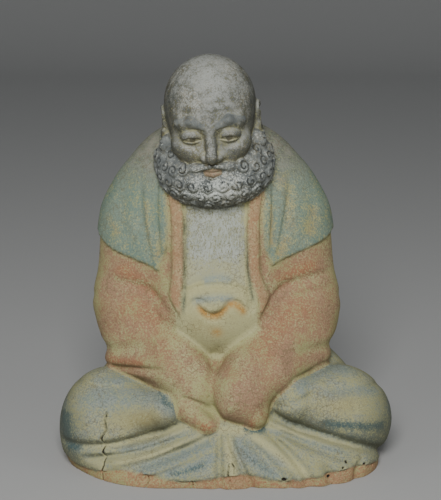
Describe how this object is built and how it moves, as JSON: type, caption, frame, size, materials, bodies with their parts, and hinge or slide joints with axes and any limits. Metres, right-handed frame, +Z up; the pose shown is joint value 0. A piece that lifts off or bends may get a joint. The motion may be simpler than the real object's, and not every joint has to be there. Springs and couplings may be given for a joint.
{
  "type": "arhat statue",
  "caption": "Seated arhat carved from one block of wood and painted: bald head, curly beard, short mantle over an open robe, hands in its sleeves, legs crossed under the robe.",
  "frame": {"origin": "middle of the figure's box, on the flat underside that it stands on", "axes": "+Z up through the head, -Y out of the figure's front, +X to the right of someone who faces it"},
  "size_m": [0.2628, 0.1806, 0.3199],
  "materials": {
    "aged_paint": "matt, worn mineral paint over a yellow ground on carved wood"
  },
  "bodies": {
    "root": {"arhat_figure": "aged_paint"}
  },
  "joints": []
}
